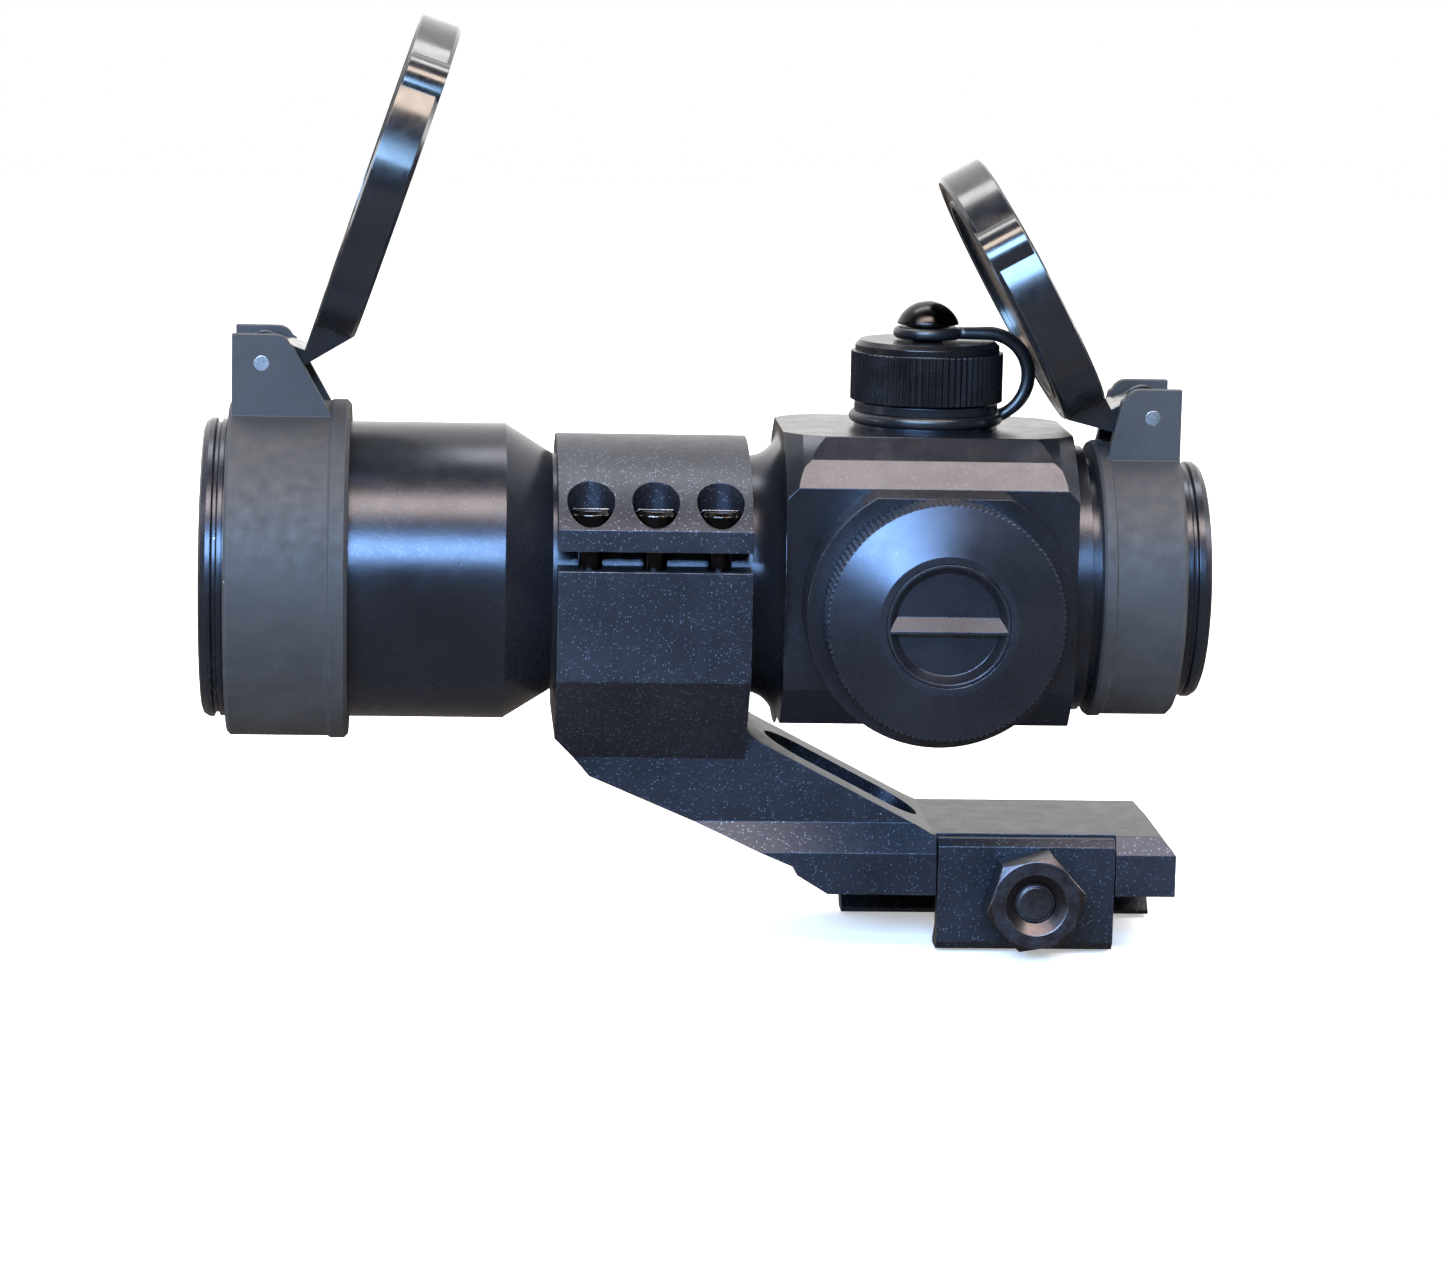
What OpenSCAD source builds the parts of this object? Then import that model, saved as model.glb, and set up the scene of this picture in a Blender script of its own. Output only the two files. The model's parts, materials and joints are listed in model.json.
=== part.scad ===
// Tube red dot sight with flip-up lens covers in a one-piece cantilever rail mount.
// +Z up, +X towards the eyepiece, millimetres.
// Origin: on the rail seat plane, in the centre plane, over the cross bolt's axis.

/* [Sight tube] */
// height of the sight axis above the rail top
sight_axis_height = 39.8; // [39.2:0.2:44]
// front face of the objective lock ring, measured forwards from the cross bolt
objective_reach = 104.6; // [102:0.2:112]
// rear face of the eyepiece lock ring, measured backwards from the cross bolt
eyepiece_reach = 21.6; // [21:0.2:24]
// radius of the front bell
bell_radius = 18.7; // [18:0.1:19.2]
// where the bell starts to taper, forwards from the cross bolt
bell_end = 66.8; // [64:0.2:74]
// radius of the tube that the mount ring holds
tube_radius = 15; // [14.6:0.1:15.2]
// radius of the bore through the tube
tube_bore_radius = 13.1; // [13:0.05:13.3]
// radius of the collar in front of the rear cover
rear_collar_radius = 16.9; // [16.2:0.1:17.2]

/* [Turret block] */
// front face of the block, forwards from the cross bolt
block_front = 32.2; // [31.8:0.2:33.4]
// rear face of the block, backwards from the cross bolt
block_back = 4.2; // [3.6:0.1:4.8]
// top flat above the sight axis
block_top = 19.15; // [18.8:0.05:20]
// bottom flat below the sight axis
block_bottom = 17.2; // [16.6:0.1:18]
// side flats from the centre plane
block_side = 17.3; // [17:0.1:18]
// half width of the top flat
block_flat_half = 12.6; // [12:0.1:13]
// turret axis, forwards from the cross bolt
turret_reach = 13.6; // [13.2:0.1:14.4]

/* [Turrets] */
// radius of the turret base
turret_radius = 9.1; // [9:0.05:9.2]
// radius over the cap's knurl
cap_radius = 9.65; // [9.5:0.05:9.8]
// number of knurl ridges on a turret cap
cap_ridges = 72; // [48:2:96]
// height of the cap's knurled band
cap_band = 6.1; // [6:0.1:6.4]
// radius of the adjuster dial
dial_radius = 6.4; // [6:0.1:6.6]
// thickness of the tether strap
strap_thickness = 1.3; // [1:0.1:1.4]
// width of the tether strap
strap_width = 3; // [2:0.25:4]
// how far the strap's loop stands out from the turret axis
strap_reach = 13.7; // [13.6:0.1:16]

/* [Brightness knob and battery] */
// drop of the knob's axis below the sight axis
knob_drop = 1.1; // [0.6:0.1:1.6]
// radius of the knob over its serrations
knob_radius = 14.6; // [14:0.1:15]
// number of serrations round the knob
knob_serrations = 120; // [80:4:160]
// radius of the switch housing behind the knob
switch_radius = 16.5; // [16:0.1:17]
// outer face of the switch housing from the centre plane
switch_face = 26; // [25.8:0.1:26.4]
// knob face from the centre plane
knob_face = 35; // [34.9:0.1:36]
// radius of the battery cap
battery_cap_radius = 7.5; // [7.4:0.05:8]
// radius of one button cell
cell_radius = 5.8; // [5.6:0.05:5.85]
// height of one button cell
cell_height = 5.3; // [5:0.05:5.35]

/* [Lens covers] */
// outer radius of the front cover ring
front_cover_radius = 21.2; // [20.8:0.1:21.6]
// length of the front cover ring
front_cover_length = 15.2; // [14.8:0.1:16]
// outer radius of the rear cover ring
rear_cover_radius = 17.4; // [17.2:0.1:17.6]
// radius of the front lid
front_lid_radius = 20.7; // [20.5:0.1:21.2]
// thickness of the front lid
front_lid_thickness = 5.3; // [5.2:0.1:6]
// radius of the rear lid
rear_lid_radius = 17.35; // [17.2:0.05:17.6]
// thickness of the rear lid
rear_lid_thickness = 5.7; // [5.6:0.1:6.2]
// lean of the open front lid past the vertical, in degrees
front_lid_lean = 18.7; // [5:0.1:24]
// lean of the open rear lid past the vertical, in degrees
rear_lid_lean = 29; // [20:0.1:30]
// front hinge pin above the sight axis
front_pin_height = 26.6; // [26.4:0.1:27.4]
// rear hinge pin above the sight axis
rear_pin_height = 21.3; // [21.2:0.1:22]
// radius of a hinge pin
pin_radius = 1; // [0.8:0.05:1.2]
// outside width over the hinge ears
ear_span = 14; // [13.4:0.2:15]

/* [Ring and mount] */
// width of the mount ring along the tube
ring_width = 24; // [23:0.2:24.4]
// front face of the mount ring, forwards from the cross bolt
ring_front = 60.4; // [60.2:0.1:60.6]
// half width of the saddle over its flanges
saddle_half = 20.5; // [20:0.1:21.5]
// height of the saddle's top edges above the sight axis
saddle_top = 2.9; // [2:0.1:3.4]
// gap between saddle and ring cap
ring_gap = 2.5; // [1.5:0.1:3]
// top of the ring cap above the sight axis
ring_cap_top = 17.5; // [17.2:0.1:19]
// radius of the ring cap's curved top
ring_cap_curve = 27; // [26.6:0.1:29]
// radius of a ring screw's shank
ring_screw_radius = 1.5; // [1.3:0.05:1.75]
// half width of the arm and the top of the base
arm_half = 11; // [10.6:0.1:11.4]
// half width of the base over its side faces
base_half = 13.3; // [13.1:0.1:13.8]
// top of the base above the rail
base_top = 8.5; // [8.2:0.1:9]
// rear end of the base, backwards from the cross bolt
base_back = 18.4; // [18:0.2:22]
// width of the lightening slot in the arm
slot_width = 11; // [8:0.25:12]
// depth of the lightening slot
slot_depth = 4.5; // [2:0.25:5]

/* [Rail clamp] */
// width of the rail's flat top
rail_top_width = 15.6; // [15.4:0.1:15.8]
// greatest width of the rail
rail_width = 21.2; // [21:0.1:21.4]
// radius of the cross bolt
bolt_radius = 2.5; // [2.3:0.05:2.6]
// height of the cross bolt's axis above the rail top
bolt_height = 1.2; // [1:0.05:1.4]
// nut size across its flats
nut_flats = 11.1; // [10:0.1:12]
// height of the nut
nut_height = 6.3; // [5:0.1:7]
// clamp jaw's front end, forwards from the cross bolt
jaw_front = 11.8; // [10:0.1:12.4]
// clamp jaw's rear end, backwards from the cross bolt
jaw_back = 10.6; // [9:0.1:12]

/* [Hidden] */

$fn = 96;
// gap left between pieces that move apart
free_gap = 0.35;
// radial clearance of a turning fit
running = 0.05;
// radial clearance of a screwed fit
thread_play = 0.1;

// sight tube stations along X
front_x = -objective_reach;
rear_x = eyepiece_reach;
lock_flange = 2.9;
bell_x = front_x + lock_flange;
bell_end_x = -bell_end;
neck_x = -ring_front - 0.5;
block_x0 = -block_front;
block_x1 = block_back;
neck_fillet = 4;
collar_x = block_x1 + 3;
eye_flange = 3.5;
tube_end_x = rear_x - eye_flange;
rear_tube_radius = tube_radius + 0.3;
objective_bore = bell_radius - 1.25;
objective_clear = objective_bore - 1.9;
objective_seat_x = bell_x + 9.2;
objective_thick = 4.2;
eye_bore = tube_radius - 1.35;
eye_seat_x = tube_end_x - 6;
eye_thick = 3;
turret_x = -turret_reach;
axis_z = sight_axis_height;

// inner tube and its pivot
tube_play = 1.6;
inner_radius = tube_bore_radius - tube_play;
inner_wall = 1.1;
pivot_x = turret_x - 40.4;
pivot_half = 2.5;
inner_x0 = pivot_x - 3.5;
inner_x1 = turret_x + 19.6;

// turret heights above their seat
groove_low = 0.5;
groove_high = 2.1;
groove_floor = turret_radius - 0.8;
flange_height = 3.15;
collar_radius = turret_radius - 1.2;
collar_height = 7.4;
dial_floor = 5.2;
dial_thick = 1.4;
stem_radius = 2;
stem_low = -1.5;
plunger_radius = 3;
plunger_roof = 3.4;
plunger_top = 2.4;
plunger_hole_floor = -2.5;
spigot_radius = 6.95;
cap_low = flange_height + 0.3;
cap_step = cap_low + cap_band;
cap_top = cap_step + 1.45;
cap_roof = cap_top - 2.1;
cap_step_radius = cap_radius - 0.5;
seal_low = collar_height + 0.45;
seal_thick = 0.65;
strap_low = cap_top + 0.4;
strap_ring_low = groove_low + 0.05;
strap_ring_high = groove_high - 0.05;
strap_arc = (strap_low + strap_thickness / 2 - (strap_ring_low + strap_ring_high) / 2) / 2;
strap_arc_h = strap_low + strap_thickness / 2 - strap_arc;
strap_arc_x = strap_reach - strap_arc - strap_thickness / 2;
eyelet_hole = 2.4;
eyelet_radius = 4.4;
screw_neck = 1.9;
screw_head_low = strap_low + strap_thickness + 0.35;
screw_head_radius = 4;
screw_head_height = 2.9;

// brightness knob stations, measured outwards from the centre plane
knob_z = axis_z - knob_drop;
switch_bore = 9.1;
switch_floor = block_side + 0.9;
board_thick = 0.7;
hub_radius = switch_bore - thread_play;
hub_low = switch_floor + board_thick + 0.4;
hub_floor = hub_low + 0.8;
knob_low = switch_face + free_gap;
knob_rim_high = knob_face - 2.3;
cell_bore = cell_radius + 0.15;
cell_low = hub_floor + 1.05;
cap_seat = knob_face - 4.1;
battery_cap_low = knob_face - 2.6;
seal_wire = 0.35;
dish_radius = battery_cap_radius - 0.35;
dish_depth = 1.3;
dish_floor_radius = dish_radius - 0.9;
dish_slope = 0.9 / dish_depth;
grip_width = 1;

// lens covers
front_cover_x = bell_x + 0.25;
front_pin_x = front_cover_x + 4.15;
rear_cover_x1 = tube_end_x;
rear_cover_length = 10.5;
rear_pin_x = rear_cover_x1 - 3.65;
front_face_gap = 4.15 + free_gap;
rear_face_gap = 3.65 + free_gap;
front_cavity = front_lid_radius - 1.1;
rear_cavity = rear_lid_radius - 1.35;
front_cavity_depth = lock_flange + 0.4;
rear_cavity_depth = eye_flange + 0.3;
ear_thick = 1.75;
knuckle_radius = 3.2;
knuckle_half = ear_span / 2 - ear_thick - free_gap;
spring_half = 2.3;
spring_wire = 0.35;
spring_coil = 2;

// mount
ring_x0 = -ring_front;
ring_x1 = ring_x0 + ring_width;
ring_bore = tube_radius + 0.05;
ring_cap_low = saddle_top + ring_gap;
ring_cap_centre = ring_cap_top - ring_cap_curve;
screw_y = 17.3;
screw_pitch = 8;
screw_pocket = 2.95;
screw_head = 2.7;
screw_seat = ring_cap_low + 2.4;
screw_head_tall = 2.5;
screw_end = saddle_top - 8;
base_low = 1;
base_front_x = -24;
seat_half = rail_top_width / 2;
base_x1 = base_back;
bevel_low = 6.3;
arm_low = 9.8;
saddle_bevel_top = 29;
saddle_bevel_low = 17.8;
jaw_play = 0.2;
jaw_face = base_half + 0.2;
jaw_wall = 2.3;
jaw_inner = jaw_face - jaw_wall;
jaw_drop = 6;
lip_tip = seat_half + 0.8;
rail_waist = rail_width / 2 + 0.15;
rail_widest_low = 3.3;
nut_low = jaw_face + 0.05;
bolt_tip = nut_low + nut_height - 1.1;

// a body turned about the sight axis; points are [radius, x]
module turned(points) {
    translate([0, 0, axis_z])
    rotate([0, 90, 0])
    rotate_extrude()
    polygon(points);
}

// a bar of the given cross-section [y, z] from x0 to x1
module bar_x(points, x0, x1) {
    translate([x0, 0, 0])
    rotate([90, 0, 90])
    linear_extrude(x1 - x0)
    polygon(points);
}

// a plate of the given outline [x, z] centred on the middle plane
module plate_y(points, half) {
    translate([0, half, 0])
    rotate([90, 0, 0])
    linear_extrude(2 * half)
    polygon(points);
}

module tube_x(r, x0, x1) {
    translate([x0, 0, axis_z])
    rotate([0, 90, 0])
    cylinder(h = x1 - x0, r = r);
}

module rod_y(r, y0, y1) {
    translate([0, y1, 0])
    rotate([90, 0, 0])
    cylinder(h = y1 - y0, r = r);
}

// turret frames: local z runs outwards from the sight axis
module upwards() {
    translate([turret_x, 0, axis_z])
    children();
}

module sideways() {
    translate([turret_x, 0, axis_z])
    rotate([-90, 0, 0])
    children();
}

// knob frame: local z runs outwards on the near side, local y runs up
module knobwards() {
    translate([turret_x, 0, knob_z])
    rotate([90, 0, 0])
    children();
}

function star(n, r, d) = [for (i = [0 : 2 * n - 1])
    (i % 2 == 0 ? r : r - d) * [cos(180 * i / n), sin(180 * i / n)]];

// ---- sight tube ----

module block_solid() {
    shoulder = 5;
    corner_radius = 22.9;
    end_radius = 20.9;
    facet = 2.65;
    facet_side = block_side - 2.1;
    facet_low = 13.2;
    heel = 12;
    intersection() {
        turned([[0, block_x0], [end_radius, block_x0], [corner_radius - 0.7, block_x0 + 2.2],
            [corner_radius, block_x0 + shoulder], [corner_radius, block_x1 - shoulder],
            [corner_radius - 0.7, block_x1 - 2.2], [end_radius, block_x1], [0, block_x1]]);
        translate([0, 0, axis_z])
        bar_x([[-block_flat_half, block_top], [-facet_side, block_top - facet], [-block_side, facet_low],
            [-block_side, -heel], [-heel, -block_bottom], [heel, -block_bottom], [block_side, -heel],
            [block_side, facet_low], [facet_side, block_top - facet], [block_flat_half, block_top]],
            block_x0 - 1, block_x1 + 1);
    }
}

module main_housing() {
    color([0.05, 0.055, 0.065])
    difference() {
        union() {
            turned([[0, bell_x], [bell_radius, bell_x], [bell_radius, bell_end_x], [tube_radius, neck_x],
                [tube_radius, block_x0], [tube_radius, block_x1], [rear_collar_radius, block_x1],
                [rear_collar_radius, collar_x - 0.9], [rear_tube_radius, collar_x - 0.9],
                [rear_tube_radius, tube_end_x], [0, tube_end_x]]);
            block_solid();
            // concave shoulder between neck and block
            translate([0, 0, axis_z])
            rotate([0, 90, 0])
            rotate_extrude()
            difference() {
                translate([tube_radius - 1, block_x0 - neck_fillet])
                square([neck_fillet + 1, neck_fillet]);
                translate([tube_radius + neck_fillet, block_x0 - neck_fillet])
                circle(r = neck_fillet);
            }
        }
        turned([[0, bell_x - 1], [objective_bore, bell_x - 1], [objective_bore, objective_seat_x],
            [objective_clear, objective_seat_x], [objective_clear, bell_end_x], [tube_bore_radius, neck_x],
            [tube_bore_radius, eye_seat_x - 1.4], [tube_bore_radius - 1, eye_seat_x - 1.4],
            [tube_bore_radius - 1, eye_seat_x], [eye_bore, eye_seat_x], [eye_bore, tube_end_x + 1],
            [0, tube_end_x + 1]]);
        upwards()
        cylinder(h = block_top + 1, r = spigot_radius + 0.05);
        sideways()
        cylinder(h = block_side + 1, r = spigot_radius + 0.05);
        // wire hole to the brightness switch
        knobwards()
        cylinder(h = block_side + 1, r = 1.5);
    }
}

module lens(x0, r, thick, front_bulge, rear_bulge) {
    front_sphere = (r * r + front_bulge * front_bulge) / (2 * front_bulge);
    rear_sphere = (r * r + rear_bulge * rear_bulge) / (2 * rear_bulge);
    intersection() {
        tube_x(r, x0, x0 + thick);
        translate([x0 + front_sphere, 0, axis_z])
        rotate([0, 90, 0])
        sphere(r = front_sphere, $fn = 360);
        translate([x0 + thick - rear_sphere, 0, axis_z])
        rotate([0, 90, 0])
        sphere(r = rear_sphere, $fn = 360);
    }
}

module objective_lens() {
    color([0.55, 0.2, 0.25, 0.4])
    lens(objective_seat_x - objective_thick, objective_bore - 0.05, objective_thick, 1.1, 0.6);
}

module objective_lock_ring() {
    thread_end = objective_seat_x - objective_thick + 0.9;
    color([0.05, 0.055, 0.065])
    turned([[objective_clear, bell_x], [bell_radius - 0.9, front_x], [bell_radius - 0.2, front_x + 0.25],
        [bell_radius + 0.2, front_x + 0.9], [bell_radius + 0.2, front_x + 1.5],
        [bell_radius - 0.35, front_x + 1.7], [bell_radius - 0.35, front_x + 2.1],
        [bell_radius + 0.1, front_x + 2.3], [bell_radius + 0.1, bell_x],
        [objective_bore - 0.05, bell_x], [objective_bore - 0.05, thread_end - 0.9],
        [objective_clear, thread_end - 0.9]]);
}

module eyepiece_lens() {
    color([0.5, 0.65, 0.6, 0.4])
    lens(eye_seat_x, eye_bore - 0.05, eye_thick, 0.4, 0.7);
}

module eyepiece_lock_ring() {
    clear = tube_bore_radius - 1;
    color([0.05, 0.055, 0.065])
    turned([[clear, tube_end_x], [tube_radius - 1, rear_x], [tube_radius - 0.4, rear_x - 0.25],
        [tube_radius + 0.05, rear_x - 0.9], [tube_radius + 0.05, rear_x - 1.7],
        [tube_radius - 0.45, rear_x - 1.9], [tube_radius - 0.45, rear_x - 2.3],
        [tube_radius + 0.05, rear_x - 2.5], [tube_radius + 0.05, tube_end_x],
        [eye_bore - 0.05, tube_end_x], [eye_bore - 0.05, eye_seat_x + eye_thick + 0.1],
        [clear, eye_seat_x + eye_thick + 0.1]]);
}

module inner_tube() {
    color([0.07, 0.07, 0.075])
    difference() {
        tube_x(inner_radius, inner_x0, inner_x1);
        tube_x(inner_radius - inner_wall, inner_x0 - 1, inner_x1 + 1);
    }
}

module pivot_ring() {
    color([0.45, 0.38, 0.22])
    difference() {
        intersection() {
            translate([pivot_x, 0, axis_z])
            rotate([0, 90, 0])
            sphere(r = tube_bore_radius - running);
            tube_x(tube_bore_radius + 1, pivot_x - pivot_half, pivot_x + pivot_half);
        }
        tube_x(inner_radius + running, pivot_x - pivot_half - 1, pivot_x + pivot_half + 1);
    }
}

module led_emitter() {
    post = 2.2;
    seat = inner_radius - inner_wall;
    color([0.6, 0.12, 0.1])
    translate([turret_x + 8, 0, axis_z - seat])
    union() {
        translate([-2.5, -2, 0.25])
        cube([5, 4, post]);
        translate([-2.5, 0, post])
        rotate([0, -90, 0])
        cylinder(h = 0.8, r = 0.9);
    }
}

module bias_spring() {
    color([0.6, 0.6, 0.62])
    translate([turret_x - 4, 0, axis_z])
    rotate([0, 90, 0])
    rotate([0, 0, -75])
    rotate_extrude(angle = 60)
    translate([tube_bore_radius - 0.55, 0])
    square([0.5, 8]);
}

// ---- turrets; heights are above the seat ----

module turret_base(seat) {
    color([0.05, 0.055, 0.065])
    translate([0, 0, seat])
    difference() {
        rotate_extrude()
        polygon([[0, tube_bore_radius + 0.3 - seat], [spigot_radius, tube_bore_radius + 0.3 - seat],
            [spigot_radius, 0], [turret_radius, 0], [turret_radius, groove_low],
            [groove_floor, groove_low], [groove_floor, groove_high], [turret_radius, groove_high],
            [turret_radius, flange_height], [collar_radius, flange_height],
            [collar_radius, collar_height], [dial_radius + thread_play, collar_height],
            [dial_radius + thread_play, dial_floor], [0, dial_floor]]);
        translate([0, 0, -10])
        cylinder(h = 10 + plunger_roof, r = plunger_radius + running);
        cylinder(h = dial_floor + 1, r = stem_radius + running);
    }
}

module dial(seat) {
    low = dial_floor + 0.3;
    color([0.62, 0.6, 0.55])
    translate([0, 0, seat])
    difference() {
        union() {
            translate([0, 0, low])
            cylinder(h = dial_thick, r = dial_radius);
            translate([0, 0, stem_low])
            cylinder(h = low - stem_low + 0.5, r = stem_radius);
        }
        translate([-dial_radius - 1, -0.6, low + dial_thick - 0.9])
        cube([2 * dial_radius + 2, 1.2, 2]);
    }
}

module plunger(seat) {
    tip = inner_radius + free_gap - seat;
    color([0.7, 0.62, 0.4])
    translate([0, 0, seat])
    difference() {
        translate([0, 0, tip])
        cylinder(h = plunger_top - tip, r = plunger_radius);
        translate([0, 0, plunger_hole_floor])
        cylinder(h = 10, r = stem_radius + running);
    }
}

module turret_cap(seat) {
    color([0.04, 0.042, 0.048])
    translate([0, 0, seat])
    difference() {
        union() {
            translate([0, 0, cap_low])
            linear_extrude(cap_band)
            polygon(star(cap_ridges, cap_radius, 0.28));
            rotate_extrude()
            polygon([[0, cap_low + 0.5], [cap_step_radius, cap_low + 0.5], [cap_step_radius, cap_top - 0.6],
                [cap_step_radius - 0.6, cap_top], [0, cap_top]]);
        }
        translate([0, 0, cap_low - 1])
        cylinder(h = cap_roof - cap_low + 1, r = collar_radius + thread_play);
        translate([0, 0, cap_roof + 0.6])
        cylinder(h = 3, r = 1.25);
    }
}

module cap_seal(seat) {
    color([0.1, 0.1, 0.1])
    translate([0, 0, seat + seal_low])
    difference() {
        cylinder(h = seal_thick, r = collar_radius - 0.4);
        translate([0, 0, -1])
        cylinder(h = 3, r = 2);
    }
}

module strap(seat) {
    arc_out = strap_arc + strap_thickness / 2;
    arc_in = strap_arc - strap_thickness / 2;
    ring_out = groove_floor + 1.3;
    color([0.05, 0.05, 0.055])
    translate([0, 0, seat])
    union() {
        // eyelet under the dome screw
        difference() {
            union() {
                translate([0, 0, strap_low])
                cylinder(h = strap_thickness, r = eyelet_radius);
                translate([0, -strap_width / 2, strap_low])
                cube([strap_arc_x, strap_width, strap_thickness]);
            }
            translate([0, 0, strap_low - 1])
            cylinder(h = strap_thickness + 2, r = eyelet_hole);
        }
        difference() {
            union() {
                // loop over the cap's edge
                intersection() {
                    translate([strap_arc_x, strap_width / 2, strap_arc_h])
                    rotate([90, 0, 0])
                    difference() {
                        cylinder(h = strap_width, r = arc_out);
                        translate([0, 0, -1])
                        cylinder(h = strap_width + 2, r = arc_in);
                    }
                    translate([strap_arc_x, -strap_width, strap_arc_h - 20])
                    cube([20, 2 * strap_width, 40]);
                }
                // ring in the base's groove
                translate([0, 0, strap_ring_low])
                cylinder(h = strap_ring_high - strap_ring_low, r = ring_out);
            }
            translate([0, 0, -1])
            cylinder(h = 5, r = groove_floor + 0.05);
            translate([0, 0, groove_high - 0.05])
            cylinder(h = 2, r = turret_radius + 0.1);
        }
    }
}

module strap_screw(seat) {
    dome = (screw_head_radius * screw_head_radius + screw_head_height * screw_head_height)
        / (2 * screw_head_height);
    color([0.08, 0.08, 0.09])
    translate([0, 0, seat])
    difference() {
        union() {
            translate([0, 0, cap_roof + 0.7])
            cylinder(h = cap_top - cap_roof, r = 1.2);
            translate([0, 0, cap_top])
            cylinder(h = screw_head_low - cap_top + 0.2, r = screw_neck);
            intersection() {
                translate([0, 0, screw_head_low + screw_head_height - dome])
                sphere(r = dome);
                translate([0, 0, screw_head_low])
                cylinder(h = screw_head_height + 1, r = screw_head_radius - 0.1);
            }
        }
        translate([-screw_head_radius, -0.5, screw_head_low + screw_head_height - 0.8])
        cube([2 * screw_head_radius, 1, 3]);
    }
}

module elevation_turret_base() upwards() turret_base(block_top);
module elevation_dial() upwards() dial(block_top);
module elevation_plunger() upwards() plunger(block_top);
module elevation_cap() upwards() turret_cap(block_top);
module elevation_cap_seal() upwards() cap_seal(block_top);
module elevation_strap() upwards() strap(block_top);
module elevation_strap_screw() upwards() strap_screw(block_top);
module windage_turret_base() sideways() turret_base(block_side);
module windage_dial() sideways() dial(block_side);
module windage_plunger() sideways() plunger(block_side);
module windage_cap() sideways() turret_cap(block_side);
module windage_cap_seal() sideways() cap_seal(block_side);
module windage_strap() sideways() strap(block_side);
module windage_strap_screw() sideways() strap_screw(block_side);

// ---- brightness switch and battery ----

module switch_housing() {
    shelf = 13.2 + knob_drop;
    color([0.045, 0.05, 0.06])
    knobwards()
    difference() {
        intersection() {
            translate([0, 0, block_side])
            cylinder(h = switch_face - block_side, r = switch_radius);
            translate([-20, -20, block_side - 1])
            cube([40, 20 + shelf, 20]);
        }
        translate([0, 0, switch_floor])
        cylinder(h = 20, r = switch_bore);
        translate([0, 0, block_side - 1])
        cylinder(h = 5, r = 1.5);
    }
}

module switch_board() {
    color([0.1, 0.35, 0.18])
    knobwards()
    translate([0, 0, switch_floor + 0.02])
    cylinder(h = board_thick, r = switch_bore - 0.2);
}

module brightness_knob() {
    face_radius = battery_cap_radius + 1;
    color([0.06, 0.07, 0.09])
    knobwards()
    difference() {
        union() {
            translate([0, 0, knob_low])
            linear_extrude(knob_rim_high - knob_low)
            polygon(star(knob_serrations, knob_radius, 0.35));
            rotate_extrude()
            polygon([[0, hub_low], [hub_radius, hub_low], [hub_radius, knob_low + 0.5],
                [knob_radius - 0.3, knob_low + 0.5], [knob_radius - 0.3, knob_rim_high],
                [face_radius, knob_face], [0, knob_face]]);
        }
        translate([0, 0, cap_seat])
        cylinder(h = 10, r = battery_cap_radius + thread_play);
        translate([0, 0, hub_floor])
        cylinder(h = 20, r = cell_bore);
        translate([0, 0, hub_low - 1])
        cylinder(h = 5, r = 2.2);
    }
}

module battery_cells() {
    color([0.75, 0.75, 0.76])
    knobwards()
    for (i = [0 : 1])
    translate([0, 0, cell_low + i * (cell_height + 0.05)])
    union() {
        cylinder(h = cell_height - 0.9, r = cell_radius);
        cylinder(h = cell_height, r = cell_radius - 1.2);
    }
}

module battery_spring() {
    color([0.75, 0.72, 0.6])
    knobwards()
    for (i = [0 : 2])
    translate([0, 0, hub_floor + 0.2 + i * 0.32])
    rotate_extrude()
    translate([3.6 - i * 0.75, 0])
    circle(r = 0.2);
}

module battery_cap() {
    color([0.05, 0.055, 0.07])
    knobwards()
    difference() {
        translate([0, 0, battery_cap_low])
        cylinder(h = knob_face - battery_cap_low, r = battery_cap_radius);
        difference() {
            // recess with a sloped wall
            translate([0, 0, knob_face - dish_depth])
            cylinder(h = dish_depth + 1, r1 = dish_floor_radius, r2 = dish_radius + dish_slope);
            // grip bar, sloped on its upper side
            translate([-20, -grip_width, knob_face])
            rotate([90, 0, 90])
            linear_extrude(40)
            polygon([[0, 0], [0, -dish_depth - 1], [2.3 * grip_width, -dish_depth - 1],
                [1.9 * grip_width, -dish_depth], [0.35, 0]]);
        }
    }
}

module battery_cap_seal() {
    color([0.08, 0.08, 0.08])
    knobwards()
    translate([0, 0, (cap_seat + battery_cap_low) / 2])
    rotate_extrude()
    translate([battery_cap_radius + thread_play - 0.3 - seal_wire, 0])
    circle(r = seal_wire);
}

// ---- lens covers; outlines are [x, z] from the pin, with the lens towards -x ----

module ear_pair(back, foot, drop) {
    top = 3.6;
    bend = 1.6;
    for (s = [-1, 1])
    translate([0, s * (ear_span - ear_thick) / 2, 0])
    difference() {
        union() {
            plate_y([[-back, top], [bend, top], [bend + 2.3, top - 1.5], [foot, -drop + 1], [foot, -drop],
                [-back, -drop]], ear_thick / 2);
            translate([bend, 0, top - 2])
            rod_y(2, -ear_thick / 2, ear_thick / 2);
        }
        rod_y(pin_radius, -ear_thick, ear_thick);
    }
}

module cover_ring(x0, x1, bore, radius, band_at_x1) {
    band = 0.25;
    band_x0 = band_at_x1 ? x1 - 2.6 : x0;
    band_x1 = band_at_x1 ? x1 : x0 + 2;
    difference() {
        union() {
            turned([[bore, x0], [radius - 0.4, x0], [radius, x0 + 0.4], [radius, x1 - 0.4],
                [radius - 0.4, x1], [bore, x1]]);
            turned([[radius - 1, band_x0], [radius, band_x0], [radius + band, band_x0 + 0.4],
                [radius + band, band_x1 - 0.5], [radius - 0.3, band_x1], [radius - 1, band_x1]]);
        }
        tube_x(bore, x0 - 1, x1 + 1);
    }
}

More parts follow.
